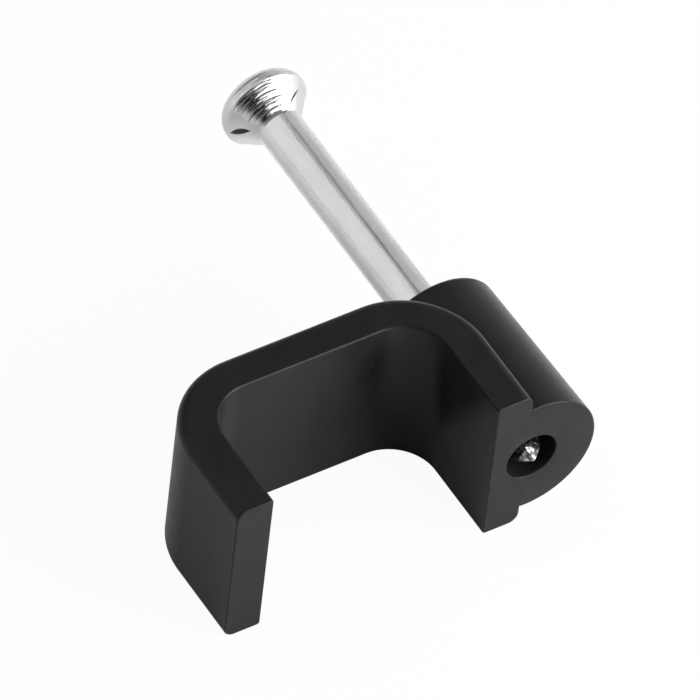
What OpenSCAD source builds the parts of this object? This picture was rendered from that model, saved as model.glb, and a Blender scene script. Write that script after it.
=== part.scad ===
// Nail-in cable clip for one flat cable.
// A moulded C-shaped band saddles the cable, and a round boss on one leg carries the nail.
// The wall is the plane y = 0 and the nail runs along y, driven towards -y.
// The cable lies along z, and the free hook leg is on the -x side of the nail.

/* [Cable channel] */
// Clear width between the two legs
channel_w = 10.85; // [7:0.05:20]
// Clear depth from the wall to the underside of the arch
channel_h = 6; // [4.5:0.1:12]
// Radius of the channel's two inner corners
corner_r = 2.1; // [0.5:0.1:2.8]

/* [Band] */
// Thickness of the hook leg, the arch and the boss leg
band_t = 1.75; // [1.2:0.05:2.4]
// Width of the band along the cable
band_w = 7.9; // [6.8:0.1:12]
// Rounding of the outer edges on both sides of the band
outer_edge_r = 0.5; // [0.2:0.05:0.8]
// Rounding of the channel-side edges on both sides of the band
inner_edge_r = 0.15; // [0.1:0.05:0.35]

/* [Boss] */
// Diameter of the boss at the wall
boss_d = 6.2; // [5.4:0.1:6.8]
// Height of the boss above the wall
boss_h = 8.1; // [7:0.05:12]
// Draft of the boss, in degrees, narrowing away from the wall
boss_draft = 1.4; // [0:0.1:2]
// Rounding of the boss's top edge
boss_edge_r = 0.3; // [0.1:0.05:0.6]
// Distance from the nail's axis to the channel side of the boss leg
nail_offset = 2; // [1.6:0.05:2.2]

/* [Nail hole] */
// Radial clearance between the shank and the bore
bore_clear = 0.05; // [0.02:0.01:0.1]
// Depth of the countersunk mouth that takes the head's underside
seat_depth = 0.35; // [0.1:0.05:0.8]
// Extra radius of the relief at the wall end of the bore
relief_step = 0.15; // [0.05:0.05:0.3]
// Depth of the relief at the wall end of the bore
relief_depth = 2.6; // [0.5:0.1:4]

/* [Nail] */
// Diameter of the shank
shank_d = 2; // [1.6:0.05:2.2]
// Overall length from point to crown
nail_l = 23; // [18:0.1:40]
// Diameter of the head
head_d = 4; // [3.4:0.1:5]
// Angle between the head's conical underside and the shank, in degrees
head_angle = 45; // [35:1:55]
// Radius of the head's rounded rim
rim_r = 0.75; // [0.3:0.05:0.8]
// Rise of the crown above the rim
crown_rise = 0.1; // [0.05:0.05:0.3]
// How far the point stands proud of the wall plane before it is driven
point_proud = 0.2; // [0:0.05:2]

/* [Nail point] */
// Length of the four pinched flats
point_l = 2.6; // [1.5:0.1:5]
// Length of the blunt last step of the point
blunt_l = 0.4; // [0.2:0.05:0.8]
// Width across the flats where the blunt step starts
blunt_w = 0.8; // [0.4:0.05:1.2]
// Width across the very end of the point
tip_w = 0.12; // [0.05:0.01:0.3]
// Turn of the four flats about the nail's axis, in degrees
point_turn = 20; // [0:1:89]

/* [Hidden] */
$fn = 96;

// Band
outer_r = corner_r + band_t;
bend_y = channel_h - corner_r;
leg_x = -nail_offset;
hook_x = leg_x - channel_w;
arch_l = channel_w - 2 * corner_r;

// Boss and bore
boss_r = boss_d / 2;
core_r = corner_r + band_t / 2;
shank_r = shank_d / 2;
bore_r = shank_r + bore_clear;
relief_r = bore_r + relief_step;
cut_over = 1;

// Nail
head_r = head_d / 2;
tip_y = -point_proud;
crown_y = tip_y + nail_l;
rim_y = crown_y - crown_rise - rim_r;
rim_x = head_r - rim_r;
cone_x = rim_x + rim_r * cos(head_angle);
cone_y = rim_y - rim_r * sin(head_angle);
neck_y = cone_y - (cone_x - shank_r) / tan(head_angle);
crown_r = (rim_x * rim_x + crown_rise * crown_rise) / (2 * crown_rise);
flat_slope = (shank_r - blunt_w / 2) / (point_l - blunt_l);
flat_over = shank_r / 4;
flat_end_y = tip_y + point_l + flat_over / flat_slope;

// Stands a shape that was drawn along z up along y
module along_y() {
    rotate([-90, 0, 0]) children();
}

// Section of the band: x runs from the channel side outwards, y runs along the cable
module band_section() {
    half_w = band_w / 2;
    translate([inner_edge_r, -half_w])
        square([band_t - inner_edge_r - outer_edge_r, band_w]);
    translate([0, -half_w + inner_edge_r])
        square([band_t - outer_edge_r, band_w - 2 * inner_edge_r]);
    translate([0, -half_w + outer_edge_r])
        square([band_t, band_w - 2 * outer_edge_r]);
    for (side = [-1, 1]) {
        translate([inner_edge_r, side * (half_w - inner_edge_r)])
            circle(r = inner_edge_r);
        translate([band_t - outer_edge_r, side * (half_w - outer_edge_r)])
            circle(r = outer_edge_r);
    }
}

// Straight run of the band, from y = 0 down to y = -length, channel side on x = 0
module band_run(length) {
    rotate([90, 0, 0])
        linear_extrude(length)
            band_section();
}

// One leg with its bend, channel side on x = 0 and bend towards -x
module band_leg() {
    translate([0, bend_y, 0])
        band_run(bend_y);
    translate([-corner_r, bend_y, 0])
        rotate_extrude(angle = 90)
            translate([corner_r, 0])
                band_section();
}

// The C-shaped band: boss leg, hook leg and arch
module band() {
    translate([leg_x, 0, 0])
        band_leg();
    translate([hook_x, 0, 0])
        mirror([1, 0, 0])
            band_leg();
    translate([hook_x + corner_r, channel_h, 0])
        rotate([0, 0, 90])
            band_run(arch_l);
}

// Half profile of the boss: drafted wall with a rounded top edge
module boss_profile() {
    round_y = boss_h - boss_edge_r;
    round_x = boss_r - round_y * tan(boss_draft) - boss_edge_r / cos(boss_draft);
    wall_x = round_x + boss_edge_r * cos(boss_draft);
    wall_y = round_y + boss_edge_r * sin(boss_draft);
    polygon([[0, 0], [boss_r, 0], [wall_x, wall_y], [round_x, boss_h], [0, boss_h]]);
    translate([round_x, round_y])
        circle(r = boss_edge_r);
}

// The channel, enlarged to the middle of the band's wall, so that the boss ends inside that wall
module channel_core() {
    far_x = hook_x;
    translate([0, 0, -boss_d])
        linear_extrude(2 * boss_d) {
            translate([far_x, -cut_over])
                square([leg_x + band_t / 2 - far_x, bend_y + cut_over]);
            translate([far_x, -cut_over])
                square([leg_x - corner_r - far_x, bend_y + core_r + cut_over]);
            translate([leg_x - corner_r, bend_y])
                circle(r = core_r);
        }
}

// The boss stands round the nail and stops short of the channel
module boss() {
    difference() {
        along_y()
            rotate_extrude()
                intersection() {
                    boss_profile();
                    square([boss_d, 2 * boss_h]);
                }
        channel_core();
    }
}

// The nail's bore: countersunk mouth, running bore and relief at the wall
module nail_hole() {
    mouth_r = bore_r + (seat_depth + cut_over) * tan(head_angle);
    along_y() {
        translate([0, 0, -cut_over])
            cylinder(r = bore_r, h = boss_h + 2 * cut_over);
        translate([0, 0, -cut_over])
            cylinder(r = relief_r, h = relief_depth + cut_over);
        translate([0, 0, boss_h - seat_depth])
            cylinder(r1 = bore_r, r2 = mouth_r, h = seat_depth + cut_over);
    }
}

// Half profile of the whole nail as turned, before its point is pinched
module nail_profile() {
    translate([0, tip_y])
        square([shank_r, rim_y - tip_y]);
    polygon([[0, neck_y], [shank_r, neck_y], [cone_x, cone_y], [rim_x, rim_y + rim_r], [0, rim_y + rim_r]]);
    translate([rim_x, rim_y])
        circle(r = rim_r);
    intersection() {
        translate([0, crown_y - crown_r])
            circle(r = crown_r);
        translate([0, rim_y])
            square([rim_x, crown_y - rim_y + cut_over]);
    }
}

// Two opposite flats of the point, as a wedge along z that is wide open above the point
module point_wedge() {
    half = [
        [tip_w / 2, tip_y],
        [blunt_w / 2, tip_y + blunt_l],
        [shank_r + flat_over, flat_end_y],
        [head_d, flat_end_y],
        [head_d, crown_y + cut_over],
    ];
    other = [for (i = [len(half) - 1:-1:0]) [-half[i][0], half[i][1]]];
    translate([0, 0, -head_d])
        linear_extrude(2 * head_d)
            polygon(concat(half, other));
}

module clip_body() {
    color("#2b2b2c")
        difference() {
            union() {
                band();
                boss();
            }
            nail_hole();
        }
}

module nail() {
    color("#c8cbce")
        intersection() {
            along_y()
                rotate_extrude()
                    intersection() {
                        nail_profile();
                        translate([0, tip_y])
                            square([head_d, nail_l + cut_over]);
                    }
            rotate([0, point_turn, 0])
                point_wedge();
            rotate([0, point_turn + 90, 0])
                point_wedge();
        }
}

clip_body();
nail();
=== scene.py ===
"""Looks of the nail-in cable clip: black satin plastic, a bright plated nail and a white studio floor."""

import math

import bmesh
import bpy
from mathutils import Matrix, Vector


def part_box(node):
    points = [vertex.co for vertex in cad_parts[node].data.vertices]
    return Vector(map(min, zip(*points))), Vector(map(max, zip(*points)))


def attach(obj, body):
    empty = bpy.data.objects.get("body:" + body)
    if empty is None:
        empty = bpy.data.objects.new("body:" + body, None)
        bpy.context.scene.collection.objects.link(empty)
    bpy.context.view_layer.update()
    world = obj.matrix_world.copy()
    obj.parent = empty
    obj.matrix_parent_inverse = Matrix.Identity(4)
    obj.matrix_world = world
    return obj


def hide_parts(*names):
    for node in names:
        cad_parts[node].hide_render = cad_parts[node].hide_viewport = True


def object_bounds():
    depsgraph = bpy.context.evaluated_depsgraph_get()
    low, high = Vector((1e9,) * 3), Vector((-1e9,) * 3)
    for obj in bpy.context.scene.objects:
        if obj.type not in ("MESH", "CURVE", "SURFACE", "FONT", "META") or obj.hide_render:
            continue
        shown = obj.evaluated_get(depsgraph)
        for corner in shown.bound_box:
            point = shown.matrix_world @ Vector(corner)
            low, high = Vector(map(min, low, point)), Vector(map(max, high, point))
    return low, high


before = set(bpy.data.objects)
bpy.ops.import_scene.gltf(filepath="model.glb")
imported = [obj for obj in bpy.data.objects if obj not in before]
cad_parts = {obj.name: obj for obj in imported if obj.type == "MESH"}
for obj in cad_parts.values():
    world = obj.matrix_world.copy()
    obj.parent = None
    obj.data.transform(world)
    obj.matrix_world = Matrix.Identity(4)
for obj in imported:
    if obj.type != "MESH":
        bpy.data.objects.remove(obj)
cad_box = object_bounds()

MM = 0.001
QUARTER = math.pi / 2

# Sizes of the clip, in millimetres, as in the part's source
clip_low, clip_high = [Vector(corner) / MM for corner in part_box("clip_body")]
BAND_W = clip_high.z - clip_low.z
BOSS_R = clip_high.x
BOSS_H = clip_high.y
BAND_T = 1.75
CHANNEL_W = 10.85
CHANNEL_H = 6.0
CORNER_R = 2.1
OUTER_EDGE_R = 0.5
INNER_EDGE_R = 0.15
NAIL_OFFSET = 2.0
BOSS_DRAFT = math.radians(1.4)
BOSS_EDGE_R = 0.3
BORE_R = 1.05
RELIEF_R = 1.2
RELIEF_DEPTH = 2.6
SEAT_DEPTH = 0.35
CUT_OVER = 1.0

# Places on the band
LEG_X = -NAIL_OFFSET
HOOK_X = LEG_X - CHANNEL_W
BEND_Y = CHANNEL_H - CORNER_R

# Sizes of the nail, in millimetres
nail_low, nail_high = [Vector(corner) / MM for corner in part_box("nail")]
HEAD_R = nail_high.x
CROWN_Y = nail_high.y
TIP_Y = nail_low.y
SHANK_R = 1.0
RIM_R = 0.75
CROWN_RISE = 0.1
HEAD_ANGLE = math.radians(45)
POINT_L = 2.6
BLUNT_L = 0.4
BLUNT_W = 0.8
TIP_W = 0.12
POINT_TURN = math.radians(20)

# Places on the nail's head, down to the neck where the cone of its underside meets the shank
RIM_X = HEAD_R - RIM_R
RIM_Y = CROWN_Y - CROWN_RISE - RIM_R
CONE_X = RIM_X + RIM_R * math.cos(HEAD_ANGLE)
CONE_Y = RIM_Y - RIM_R * math.sin(HEAD_ANGLE)
NECK_Y = CONE_Y - (CONE_X - SHANK_R) / math.tan(HEAD_ANGLE)

# Fine rounding that the solids leave out, in millimetres
END_EDGE_R = 0.08
HOLE_EDGE_R = 0.06
NECK_R = 0.35

# Angle below the rim's widest place at which the head's straight underside starts
RIM_EDGE = math.radians(10)

# Fineness and shading of the meshes
ARC_STEPS = 8
BEND_STEPS = 32
TURN_STEPS = 144
SMOOTH_ANGLE = math.radians(28)
NORMALS_WEIGHT = 100

# Camera, in the object's own frame
CAMERA_AZIMUTH = math.radians(-36.03)
CAMERA_ELEVATION = math.radians(48.43)
CAMERA_ROLL = math.radians(6.98)
CAMERA_DISTANCE = 667 * MM
SENSOR_WIDTH = 36
CLIP_START = 0.01
CLIP_END = 10
IMAGE_SIDE_PX = 700
ORIGIN_PX = (531.54, 456.55)
PX_PER_MM = 23.966


def make_camera():
    """Camera whose picture shows the frame's origin at ORIGIN_PX, at PX_PER_MM there."""
    a, e, r = CAMERA_AZIMUTH, CAMERA_ELEVATION, CAMERA_ROLL
    back = Vector((math.sin(a) * math.cos(e), -math.cos(a) * math.cos(e), math.sin(e)))
    level_right = Vector((math.cos(a), math.sin(a), 0))
    level_up = back.cross(level_right)
    right = math.cos(r) * level_right + math.sin(r) * level_up
    up = math.cos(r) * level_up - math.sin(r) * level_right
    half = IMAGE_SIDE_PX / 2
    aim = (half - ORIGIN_PX[0]) * right - (half - ORIGIN_PX[1]) * up
    aim *= MM / PX_PER_MM
    data = bpy.data.cameras.new("camera")
    data.sensor_width = SENSOR_WIDTH
    data.lens = PX_PER_MM * CAMERA_DISTANCE / MM * SENSOR_WIDTH / IMAGE_SIDE_PX
    data.clip_start = CLIP_START
    data.clip_end = CLIP_END
    camera = bpy.data.objects.new("camera", data)
    bpy.context.scene.collection.objects.link(camera)
    turn = Matrix((right, up, back)).transposed().to_4x4()
    camera.matrix_world = Matrix.Translation(aim + back * CAMERA_DISTANCE) @ turn
    bpy.context.scene.camera = camera


# Mesh helpers, all in millimetres until a piece is finished

def new_object(name, vertices, faces):
    """Object with a mesh of the given vertices and faces."""
    mesh = bpy.data.meshes.new(name)
    mesh.from_pydata(vertices, [], faces)
    mesh.validate()
    piece = bpy.data.objects.new(name, mesh)
    bpy.context.scene.collection.objects.link(piece)
    return piece


def settle(piece):
    """Applies the piece's modifiers to its mesh."""
    graph = bpy.context.evaluated_depsgraph_get()
    mesh = bpy.data.meshes.new_from_object(piece.evaluated_get(graph))
    piece.modifiers.clear()
    piece.data = mesh


def combine(piece, other, operation):
    """Joins the other solid to the piece, or cuts it away, and removes the other."""
    step = piece.modifiers.new(operation.lower(), "BOOLEAN")
    step.operation = operation
    step.solver = "EXACT"
    step.object = other
    settle(piece)
    bpy.data.objects.remove(other)


def finish_piece(piece, body, node, material):
    """Scales a piece to metres, smooths its shading and puts it in its node's place."""
    mesh = piece.data
    mesh.transform(Matrix.Scale(MM, 4))
    mesh.shade_smooth()
    mesh.set_sharp_from_angle(angle=SMOOTH_ANGLE)
    normals = piece.modifiers.new("face weighted normals", "WEIGHTED_NORMAL")
    normals.keep_sharp = True
    normals.weight = NORMALS_WEIGHT
    settle(piece)
    piece.data.materials.clear()
    piece.data.materials.append(material)
    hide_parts(node)
    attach(piece, body)


def arc(centre, radius, start, end, steps=ARC_STEPS):
    """Points of an arc, its angles in radians."""
    cx, cy = centre
    points = []
    for i in range(steps + 1):
        angle = start + (end - start) * i / steps
        points.append((cx + radius * math.cos(angle), cy + radius * math.sin(angle)))
    return points


def loft(name, rings):
    """Closed solid through rings of equally many points, with a flat cap on each end."""
    count = len(rings[0])
    vertices = [point for ring in rings for point in ring]
    faces = [tuple(range(count - 1, -1, -1))]
    for i in range(len(rings) - 1):
        for j in range(count):
            k = (j + 1) % count
            low, high = i * count, (i + 1) * count
            faces.append((low + j, low + k, high + k, high + j))
    last = (len(rings) - 1) * count
    faces.append(tuple(range(last, last + count)))
    return new_object(name, vertices, faces)


def turned(name, profile):
    """Solid turned about the y axis from a profile of (radius, y) that starts and ends on the axis."""
    vertices = [(0, profile[0][1], 0)]
    for radius, y in profile[1:-1]:
        for j in range(TURN_STEPS):
            angle = 2 * math.pi * j / TURN_STEPS
            vertices.append((radius * math.cos(angle), y, radius * math.sin(angle)))
    vertices.append((0, profile[-1][1], 0))
    faces = []
    end = len(vertices) - 1
    for j in range(TURN_STEPS):
        k = (j + 1) % TURN_STEPS
        faces.append((0, 1 + j, 1 + k))
        for i in range(len(profile) - 3):
            low, high = 1 + i * TURN_STEPS, 1 + (i + 1) * TURN_STEPS
            faces.append((low + k, low + j, high + j, high + k))
        faces.append((end, end - TURN_STEPS + k, end - TURN_STEPS + j))
    piece = new_object(name, vertices, faces)
    work = bmesh.new()
    work.from_mesh(piece.data)
    bmesh.ops.recalc_face_normals(work, faces=work.faces)
    work.to_mesh(piece.data)
    work.free()
    return piece


# The clip

def band_ring(origin, outward, inset):
    """Outline of the band's rounded section at a place on its channel side."""
    inner_r = INNER_EDGE_R - inset
    outer_r = OUTER_EDGE_R - inset
    half = BAND_W / 2
    points = []
    points += arc((BAND_T - OUTER_EDGE_R, half - OUTER_EDGE_R), outer_r, 0, QUARTER)
    points += arc((INNER_EDGE_R, half - INNER_EDGE_R), inner_r, QUARTER, 2 * QUARTER)
    points += arc((INNER_EDGE_R, INNER_EDGE_R - half), inner_r, 2 * QUARTER, 3 * QUARTER)
    points += arc((BAND_T - OUTER_EDGE_R, OUTER_EDGE_R - half), outer_r, 3 * QUARTER, 4 * QUARTER)
    return [(origin[0] + outward[0] * t, origin[1] + outward[1] * t, z) for t, z in points]


def make_band():
    """The C-shaped band, from the end of the boss leg round to the end of the hook."""
    end_round = arc((END_EDGE_R, END_EDGE_R), END_EDGE_R, 3 * QUARTER, 2 * QUARTER)
    rings = [band_ring((LEG_X, y), (1, 0), inset) for inset, y in end_round]
    for centre_x, start in ((LEG_X - CORNER_R, 0), (HOOK_X + CORNER_R, QUARTER)):
        for i in range(BEND_STEPS + 1):
            angle = start + QUARTER * i / BEND_STEPS
            outward = (math.cos(angle), math.sin(angle))
            origin = (centre_x + CORNER_R * outward[0], BEND_Y + CORNER_R * outward[1])
            rings.append(band_ring(origin, outward, 0))
    rings += [band_ring((HOOK_X, y), (-1, 0), inset) for inset, y in reversed(end_round)]
    return loft("clip", rings)


def make_boss():
    """The drafted round boss, stopped inside the band's wall."""
    round_y = BOSS_H - BOSS_EDGE_R
    round_x = BOSS_R - round_y * math.tan(BOSS_DRAFT) - BOSS_EDGE_R / math.cos(BOSS_DRAFT)
    profile = [(0, 0)]
    profile += arc((BOSS_R - END_EDGE_R, END_EDGE_R), END_EDGE_R, -QUARTER, BOSS_DRAFT)
    profile += arc((round_x, round_y), BOSS_EDGE_R, BOSS_DRAFT, QUARTER)
    profile += [(0, BOSS_H)]
    boss = turned("boss", profile)
    combine(boss, make_channel_core(), "DIFFERENCE")
    return boss


def make_channel_core():
    """The channel out to the middle of the band's wall, where the boss stops."""
    core_r = CORNER_R + BAND_T / 2
    reach = BAND_W
    outline = [(HOOK_X, -reach), (LEG_X + BAND_T / 2, -reach)]
    outline += arc((LEG_X - CORNER_R, BEND_Y), core_r, 0, QUARTER, BEND_STEPS)
    outline += [(HOOK_X, BEND_Y + core_r)]
    return loft("core", [[(x, y, z) for x, y in outline] for z in (-reach, reach)])


def make_hole():
    """The nail's hole as a solid: eased mouth at the wall, relief, bore and countersunk seat."""
    mouth_r = RELIEF_R + HOLE_EDGE_R
    seat_r = BORE_R + (SEAT_DEPTH + CUT_OVER) * math.tan(HEAD_ANGLE)
    profile = [(0, -CUT_OVER), (mouth_r, -CUT_OVER)]
    profile += arc((mouth_r, HOLE_EDGE_R), HOLE_EDGE_R, 3 * QUARTER, 2 * QUARTER)
    profile += [(RELIEF_R, RELIEF_DEPTH), (BORE_R, RELIEF_DEPTH), (BORE_R, BOSS_H - SEAT_DEPTH)]
    profile += [(seat_r, BOSS_H + CUT_OVER), (0, BOSS_H + CUT_OVER)]
    return turned("hole", profile)


def make_clip(material):
    """The moulded clip, with the small edge rounding that a mould leaves."""
    clip = make_band()
    combine(clip, make_boss(), "UNION")
    combine(clip, make_hole(), "DIFFERENCE")
    finish_piece(clip, "clip", "clip_body", material)


# The nail

def nail_profile():
    """Half profile of the nail from its point to its crown, before the point is pinched."""
    edge_x = RIM_X + RIM_R * math.cos(RIM_EDGE)
    edge_y = RIM_Y - RIM_R * math.sin(RIM_EDGE)
    under = math.atan2(edge_x - SHANK_R, edge_y - NECK_Y)
    neck_start_y = NECK_Y - NECK_R * math.tan(under / 2)
    crown_r = (RIM_X ** 2 + CROWN_RISE ** 2) / (2 * CROWN_RISE)
    crown_half = math.asin(RIM_X / crown_r)
    profile = [(0, TIP_Y), (SHANK_R, TIP_Y)]
    profile += arc((SHANK_R + NECK_R, neck_start_y), NECK_R, 2 * QUARTER, 2 * QUARTER - under)
    profile += arc((RIM_X, RIM_Y), RIM_R, -RIM_EDGE, QUARTER, 3 * ARC_STEPS)
    crown = arc((0, CROWN_Y - crown_r), crown_r, QUARTER - crown_half, QUARTER, 2 * ARC_STEPS)
    return profile + crown[1:]


def pinch_point(piece):
    """Cuts the four flats of the point, each in a long step and a blunt last step."""
    tip = (TIP_W / 2, TIP_Y)
    blunt = (BLUNT_W / 2, TIP_Y + BLUNT_L)
    full = (SHANK_R, TIP_Y + POINT_L)
    work = bmesh.new()
    work.from_mesh(piece.data)
    for flat in range(4):
        angle = POINT_TURN + flat * QUARTER
        side = Vector((math.cos(angle), 0, -math.sin(angle)))
        for low, high in ((blunt, full), (tip, blunt)):
            rise = high[1] - low[1]
            spread = high[0] - low[0]
            normal = side * rise - Vector((0, spread, 0))
            point = side * low[0] + Vector((0, low[1], 0))
            cut = bmesh.ops.bisect_plane(
                work, geom=work.verts[:] + work.edges[:] + work.faces[:],
                plane_co=point, plane_no=normal, clear_outer=True)
            edges = [item for item in cut["geom_cut"] if isinstance(item, bmesh.types.BMEdge)]
            bmesh.ops.contextual_create(work, geom=edges)
    bmesh.ops.recalc_face_normals(work, faces=work.faces)
    work.to_mesh(piece.data)
    work.free()


def make_nail(material):
    """The plated nail, with a softened neck and a pinched four-sided point."""
    nail = turned("plated_nail", nail_profile())
    pinch_point(nail)
    finish_piece(nail, "nail", "nail", material)


# Materials, whose nodes measure in millimetres on the piece itself

# Start of the noise, which keeps flat faces off its cell walls
NOISE_START = (0.37, 0.59, 0.23)

# Detail of soft, plain and fine noise, and the middle of its range, where most of it lies
SOFT_DETAIL = 1
PLAIN_DETAIL = 2
FINE_DETAIL = 3
NOISE_MIDDLE = (0.3, 0.7)

# Black plastic: clouds of noise to the millimetre
GRAIN_COUNT = (6.5, 6.5, 6.5)
CLOUD_COUNT = (0.6, 0.6, 0.6)
RUB_COUNT = (0.3, 0.3, 1.2)

# Black plastic: grey level, tint, roughness, share of rubbed places, and heights in millimetres
PLASTIC_LEVEL = (0.0078, 0.0094)
GRAIN_LEVEL = (0, 0.0005)
PLASTIC_TINT = (1, 1, 1.03)
PLASTIC_ROUGHNESS = (0.27, 0.32)
RUB_ROUGHNESS = (0, 0.02)
RUB_RANGE = (0.45, 0.75)
PLASTIC_SPECULAR = 0.17
GRAIN_HEIGHT = 0.0015
CLOUD_HEIGHT = 0.004

# Plated steel: clouds of noise to the millimetre, or to the radius for lines and rings round the nail
DRAWN_COUNT = (9, 0.12, 9)
RING_COUNT = (1.1, 5.5, 1.1)
PIT_COUNT = (5, 5, 5)
PLATING_COUNT = (1.3, 0.6, 1.3)
UNEVEN_COUNT = (2.2, 1.1, 2.2)

# Plated steel: grey level, tint, roughness, and heights in millimetres
PLATED_LEVEL = (0.74, 0.8)
PLATED_TINT = (1, 1.005, 1.01)
PLATED_ROUGHNESS = (0.15, 0.2)
DRAWN_ROUGHNESS = (0, 0.08)
DRAWN_RANGE = (0.45, 0.75)
DRAWN_HEIGHT = 0.0012
UNEVEN_HEIGHT = 0.016
RING_HEIGHT = 0.055

# Sheared point: grey level, which is the dull tone of sheared steel set darker as painted shade for the
# facets turned from the light, roughness, and height of its pits in millimetres
POINT_LEVEL_AND_SHADE = (0.06, 0.5)
POINT_RANGE = (0.4, 0.65)
POINT_ROUGHNESS = 0.33
PIT_HEIGHT = 0.03

# Where the head's finish starts above the neck and the point's ends above the tip, in millimetres
HEAD_FADE = (-0.1, 0.2)
POINT_FADE = (0.5, POINT_L)

# Painted reflection of shade under the head: two dark spindles that stand for the shadow below the head
# mirrored in its underside; angle about the nail, height, lean, half angle and half length
PAINTED_SHADE_SPINDLES = ((185, 21.33, 26, 7.5, 0.38), (52.5, 21.12, -43, 2.6, 0.32))
PAINTED_SHADE_LEVEL = 0.02
PAINTED_SHADE_SHARE = 0.97
PAINTED_SHADE_RANGE = (0.15, 0.25)
PAINTED_SHADE_EDGE = (0.7, 1.1)
PAINTED_SHADE_SIDE = (0.5, 0.6)


def node_material(name):
    """New node material, with its node tree and its Principled shader."""
    material = bpy.data.materials.new(name)
    material.use_nodes = True
    tree = material.node_tree
    return material, tree, tree.nodes["Principled BSDF"]


def feed(tree, socket, item):
    """Gives a socket a link from another socket, or a plain value."""
    if isinstance(item, bpy.types.NodeSocket):
        tree.links.new(item, socket)
    else:
        socket.default_value = item


def maths(tree, operation, *items):
    """Result of a maths node on sockets or numbers."""
    node = tree.nodes.new("ShaderNodeMath")
    node.operation = operation
    for socket, item in zip(node.inputs, items):
        feed(tree, socket, item)
    return node.outputs[0]


def place(tree):
    """The three coordinates of a point on its piece, in millimetres."""
    where = tree.nodes.new("ShaderNodeTexCoord")
    scaled = tree.nodes.new("ShaderNodeVectorMath")
    scaled.operation = "SCALE"
    scaled.inputs["Scale"].default_value = 1 / MM
    tree.links.new(where.outputs["Object"], scaled.inputs[0])
    split = tree.nodes.new("ShaderNodeSeparateXYZ")
    tree.links.new(scaled.outputs[0], split.inputs[0])
    return split.outputs["X"], split.outputs["Y"], split.outputs["Z"]


def noise(tree, point, counts, detail=PLAIN_DETAIL):
    """Cloudy value between 0 and 1; the counts say how many clouds fit in a unit of each coordinate."""
    joined = tree.nodes.new("ShaderNodeCombineXYZ")
    for socket, item, count, start in zip(joined.inputs, point, counts, NOISE_START):
        feed(tree, socket, maths(tree, "MULTIPLY_ADD", item, count, start))
    cloud = tree.nodes.new("ShaderNodeTexNoise")
    cloud.inputs["Scale"].default_value = 1
    cloud.inputs["Detail"].default_value = detail
    tree.links.new(joined.outputs[0], cloud.inputs["Vector"])
    return cloud.outputs[0]


def remap(tree, value, source, target):
    """Value carried smoothly from one range to another, and held at its ends."""
    node = tree.nodes.new("ShaderNodeMapRange")
    node.interpolation_type = "SMOOTHSTEP"
    feed(tree, node.inputs["Value"], value)
    node.inputs["From Min"].default_value, node.inputs["From Max"].default_value = source
    node.inputs["To Min"].default_value, node.inputs["To Max"].default_value = target
    return node.outputs[0]


def blend(tree, share, first, second):
    """Number between two others, by a share of the second."""
    return maths(tree, "MULTIPLY_ADD", maths(tree, "SUBTRACT", second, first), share, first)


def grey(tree, level, tint):
    """Colour of a grey level, with a slight tint."""
    joined = tree.nodes.new("ShaderNodeCombineColor")
    for socket, part in zip(joined.inputs, tint):
        feed(tree, socket, maths(tree, "MULTIPLY", level, part))
    return joined.outputs[0]


def bump(tree, shader, height):
    """Gives the shader a surface height in millimetres."""
    node = tree.nodes.new("ShaderNodeBump")
    node.inputs["Strength"].default_value = 1
    node.inputs["Distance"].default_value = MM
    tree.links.new(height, node.inputs["Height"])
    tree.links.new(node.outputs[0], shader.inputs["Normal"])


def black_plastic():
    """Satin black plastic: fine moulded grain, faint clouds of gloss and soft rubs along the band."""
    material, tree, shader = node_material("black_plastic")
    point = place(tree)
    grain = noise(tree, point, GRAIN_COUNT)
    cloud = noise(tree, point, CLOUD_COUNT, SOFT_DETAIL)
    rubs = noise(tree, point, RUB_COUNT, SOFT_DETAIL)
    gloss = remap(tree, cloud, NOISE_MIDDLE, PLASTIC_ROUGHNESS)
    rubbed = remap(tree, rubs, RUB_RANGE, RUB_ROUGHNESS)
    feed(tree, shader.inputs["Roughness"], maths(tree, "ADD", gloss, rubbed))
    base = remap(tree, cloud, NOISE_MIDDLE, PLASTIC_LEVEL)
    level = maths(tree, "ADD", base, remap(tree, grain, NOISE_MIDDLE, GRAIN_LEVEL))
    feed(tree, shader.inputs["Base Color"], grey(tree, level, PLASTIC_TINT))
    shader.inputs["Specular IOR Level"].default_value = PLASTIC_SPECULAR
    waves = maths(tree, "MULTIPLY", cloud, CLOUD_HEIGHT)
    bump(tree, shader, maths(tree, "MULTIPLY_ADD", grain, GRAIN_HEIGHT, waves))
    return material


def painted_shade_spindle(tree, east, north, y, angle, middle, lean, half_angle, half_length):
    """Share of a thin spindle of painted shade; angle about the nail, and lean in degrees to the millimetre.
    """
    a = math.radians(angle)
    cos_east = maths(tree, "MULTIPLY", east, math.cos(a))
    sin_east = maths(tree, "MULTIPLY", east, math.sin(a))
    across = maths(tree, "SUBTRACT", maths(tree, "MULTIPLY", north, math.cos(a)), sin_east)
    facing = maths(tree, "MULTIPLY_ADD", north, math.sin(a), cos_east)
    rise = maths(tree, "SUBTRACT", y, middle)
    aside = maths(tree, "MULTIPLY_ADD", rise, -math.radians(lean), across)
    wide = maths(tree, "ABSOLUTE", maths(tree, "DIVIDE", aside, math.radians(half_angle)))
    along = maths(tree, "POWER", maths(tree, "DIVIDE", rise, half_length), 2)
    inside = remap(tree, maths(tree, "ADD", wide, along), PAINTED_SHADE_EDGE, (1, 0))
    return maths(tree, "MULTIPLY", inside, remap(tree, facing, PAINTED_SHADE_SIDE, (0, 1)))


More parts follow.
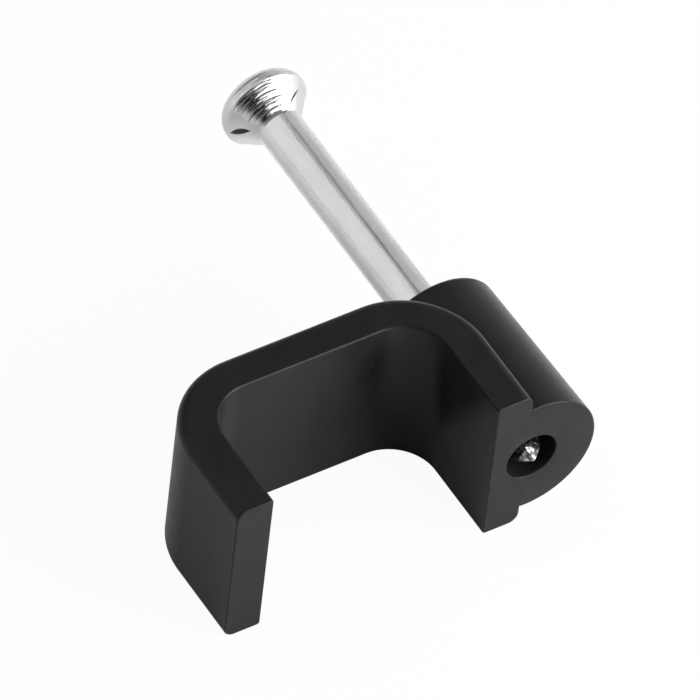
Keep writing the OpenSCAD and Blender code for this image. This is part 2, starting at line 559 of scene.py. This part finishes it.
def plated_steel():
    """Bright zinc plating: drawn lines on the shank, forging rings on the head, painted dark reflections of
    shade under the head, a sheared point whose dark pitted grey is partly painted shade.
    """
    material, tree, shader = node_material("plated_steel")
    x, y, z = place(tree)
    radius = maths(tree, "SQRT", maths(tree, "MULTIPLY_ADD", x, x, maths(tree, "MULTIPLY", z, z)))
    east = maths(tree, "DIVIDE", x, radius)
    north = maths(tree, "DIVIDE", z, radius)
    outward = maths(tree, "ADD", y, radius)
    on_head = remap(tree, y, [NECK_Y + step for step in HEAD_FADE], (0, 1))
    on_point = remap(tree, y, [TIP_Y + step for step in POINT_FADE], (1, 0))
    drawn = noise(tree, (east, y, north), DRAWN_COUNT, FINE_DETAIL)
    rings = noise(tree, (east, outward, north), RING_COUNT)
    pits = noise(tree, (x, y, z), PIT_COUNT, FINE_DETAIL)
    cloud = noise(tree, (x, y, z), PLATING_COUNT)
    uneven = noise(tree, (x, y, z), UNEVEN_COUNT)
    level = remap(tree, cloud, NOISE_MIDDLE, PLATED_LEVEL)
    shown = remap(tree, pits, PAINTED_SHADE_RANGE, (0, PAINTED_SHADE_SHARE))
    # Painted reflection of shade: dark spindles under the head, broken up by the pits noise, stand for the
    # shadow below the head mirrored in it.
    for sizes in PAINTED_SHADE_SPINDLES:
        painted_shade = painted_shade_spindle(tree, east, north, y, *sizes)
        level = blend(tree, maths(tree, "MULTIPLY", painted_shade, shown), level, PAINTED_SHADE_LEVEL)
    # The point's pitted grey: its own dull tone, darkened further as painted shade.
    level = blend(tree, on_point, level, remap(tree, pits, POINT_RANGE, POINT_LEVEL_AND_SHADE))
    feed(tree, shader.inputs["Base Color"], grey(tree, level, PLATED_TINT))
    shader.inputs["Metallic"].default_value = 1
    gloss = remap(tree, cloud, NOISE_MIDDLE, PLATED_ROUGHNESS)
    gloss = maths(tree, "ADD", gloss, remap(tree, drawn, DRAWN_RANGE, DRAWN_ROUGHNESS))
    feed(tree, shader.inputs["Roughness"], blend(tree, on_point, gloss, POINT_ROUGHNESS))
    lines = maths(tree, "MULTIPLY", drawn, DRAWN_HEIGHT)
    height = maths(tree, "MULTIPLY_ADD", uneven, UNEVEN_HEIGHT, lines)
    height = blend(tree, on_head, height, maths(tree, "MULTIPLY", rings, RING_HEIGHT))
    height = blend(tree, on_point, height, maths(tree, "MULTIPLY", pits, PIT_HEIGHT))
    bump(tree, shader, height)
    return material


# The studio

# Floor: its side in metres, its paper, and how white it shows to the camera and in reflections
FLOOR_SIDE = 3.0
FLOOR_PAPER = 0.66
WHITE_TO_CAMERA = 0.95
WHITE_TO_GLOSS = 0.07

# Brightness of the room by height above the horizon, from 0 to 1 straight up
ROOM_LEVELS = ((0.03, 0.95), (0.06, 0.45), (0.1, 0.45), (0.4, 0.21))

# Dark side of the room: azimuth and elevation of its middle, angles of its soft edge, and its brightness
DARK_SIDE = (238, 22)
DARK_SPREAD = (27, 17)
DARK_LEVEL = 0.02

# Low softboxes round the clip: azimuth from the x axis and elevation in degrees, and brightness
LOW_SOFTBOXES = ((315, 22, 8.0), (280, 22, 2.0), (0, 22, 1.0), (45, 22, 0.34))
LOW_DISTANCE = 0.13
LOW_SIDE = 0.1

# Fills that brighten the plastic and don't mirror in the nail, given in the same way
FILLS = ((135, 25, 1.6), (300, 8, 9.0), (0, 15, 2.5))

# Overhead strips along the nail: angles from the x axis, seen along the nail, and brightness
OVERHEAD_STRIPS = (
    (66, 81.5, 0.33),
    (84, 105, 0.62),
    (105, 135, 0.66),
    (135, 152, 0.66),
    (152, 161, 0.59),
    (161, 169, 0.51),
    (169, 177, 0.4),
)
STRIP_DISTANCE = 0.4
STRIP_SPAN = (0.08, 0.46)


def direction(azimuth, elevation):
    """Unit vector towards an azimuth from the x axis and an elevation, both in degrees."""
    a, e = math.radians(azimuth), math.radians(elevation)
    return Vector((math.cos(e) * math.cos(a), math.cos(e) * math.sin(a), math.sin(e)))


def make_floor():
    """White floor under the clip's side, which shows as white and keeps a soft shadow."""
    half = FLOOR_SIDE / 2
    z = cad_box[0][2]
    corners = [(-half, -half, z), (half, -half, z), (half, half, z), (-half, half, z)]
    floor = new_object("floor", corners, [(0, 1, 2, 3)])
    material, tree, shader = node_material("floor_white")
    tree.nodes.remove(shader)
    paper = tree.nodes.new("ShaderNodeBsdfDiffuse")
    paper.inputs["Color"].default_value = (FLOOR_PAPER, FLOOR_PAPER, FLOOR_PAPER, 1)
    white = tree.nodes.new("ShaderNodeEmission")
    white.inputs["Color"].default_value = (1, 1, 1, 1)
    white.inputs["Strength"].default_value = 1
    path = tree.nodes.new("ShaderNodeLightPath")
    mirrored = maths(tree, "MULTIPLY", path.outputs["Is Glossy Ray"], WHITE_TO_GLOSS)
    share = maths(tree, "MULTIPLY_ADD", path.outputs["Is Camera Ray"], WHITE_TO_CAMERA, mirrored)
    mix = tree.nodes.new("ShaderNodeMixShader")
    tree.links.new(share, mix.inputs["Fac"])
    tree.links.new(paper.outputs[0], mix.inputs[1])
    tree.links.new(white.outputs[0], mix.inputs[2])
    tree.links.new(mix.outputs[0], tree.nodes["Material Output"].inputs["Surface"])
    floor.data.materials.append(material)


def make_softbox(name, centre, back, width, length, level, mirrored=True):
    """Soft light whose back points away from the clip; level is its brightness as seen from there."""
    data = bpy.data.lights.new(name, "AREA")
    data.shape = "RECTANGLE"
    data.size = width
    data.size_y = length
    data.energy = level * math.pi * width * length
    light = bpy.data.objects.new(name, data)
    bpy.context.scene.collection.objects.link(light)
    up = Vector((0, 1, 0)) - back * back.y
    up.normalize()
    turn = Matrix((up.cross(back), up, back)).transposed().to_4x4()
    light.matrix_world = Matrix.Translation(centre) @ turn
    light.visible_camera = False
    light.visible_glossy = mirrored


def make_lights():
    """A ring of low softboxes, strongest at the front right, with fills and strips above the nail."""
    for kind, boxes, mirrored in (("softbox", LOW_SOFTBOXES, True), ("fill", FILLS, False)):
        for azimuth, elevation, level in boxes:
            back = direction(azimuth, elevation)
            centre = back * LOW_DISTANCE
            make_softbox(f"{kind} {azimuth}", centre, back, LOW_SIDE, LOW_SIDE, level, mirrored)
    for low, high, level in OVERHEAD_STRIPS:
        middle = math.radians(low + high) / 2
        half = math.radians(high - low) / 2
        back = Vector((math.cos(middle), 0, math.sin(middle)))
        centre = back * STRIP_DISTANCE + Vector((0, sum(STRIP_SPAN) / 2, 0))
        width = 2 * STRIP_DISTANCE * math.tan(half)
        make_softbox(f"strip {low}", centre, back, width, STRIP_SPAN[1] - STRIP_SPAN[0], level)


def make_world():
    """Dim room with a white horizon all round and a dark side at the front left."""
    world = bpy.data.worlds.new("studio")
    bpy.context.scene.world = world
    world.use_nodes = True
    tree = world.node_tree
    back = tree.nodes["Background"]
    back.inputs["Color"].default_value = (1, 1, 1, 1)
    where = tree.nodes.new("ShaderNodeTexCoord")
    split = tree.nodes.new("ShaderNodeSeparateXYZ")
    tree.links.new(where.outputs["Generated"], split.inputs[0])
    ramp = tree.nodes.new("ShaderNodeValToRGB")
    stops = ramp.color_ramp.elements
    while len(stops) < len(ROOM_LEVELS):
        stops.new(1)
    for stop, (height, level) in zip(stops, ROOM_LEVELS):
        stop.position = height
        stop.color = (level, level, level, 1)
    tree.links.new(split.outputs["Z"], ramp.inputs["Fac"])
    towards = tree.nodes.new("ShaderNodeVectorMath")
    towards.operation = "DOT_PRODUCT"
    towards.inputs[1].default_value = direction(*DARK_SIDE)
    tree.links.new(where.outputs["Generated"], towards.inputs[0])
    edges = [math.cos(math.radians(angle)) for angle in DARK_SPREAD]
    lit = remap(tree, towards.outputs["Value"], edges, (1, DARK_LEVEL))
    feed(tree, back.inputs["Strength"], maths(tree, "MULTIPLY", ramp.outputs["Color"], lit))


make_camera()
make_clip(black_plastic())
make_nail(plated_steel())
make_floor()
make_lights()
make_world()
bpy.context.scene.view_settings.view_transform = "Standard"
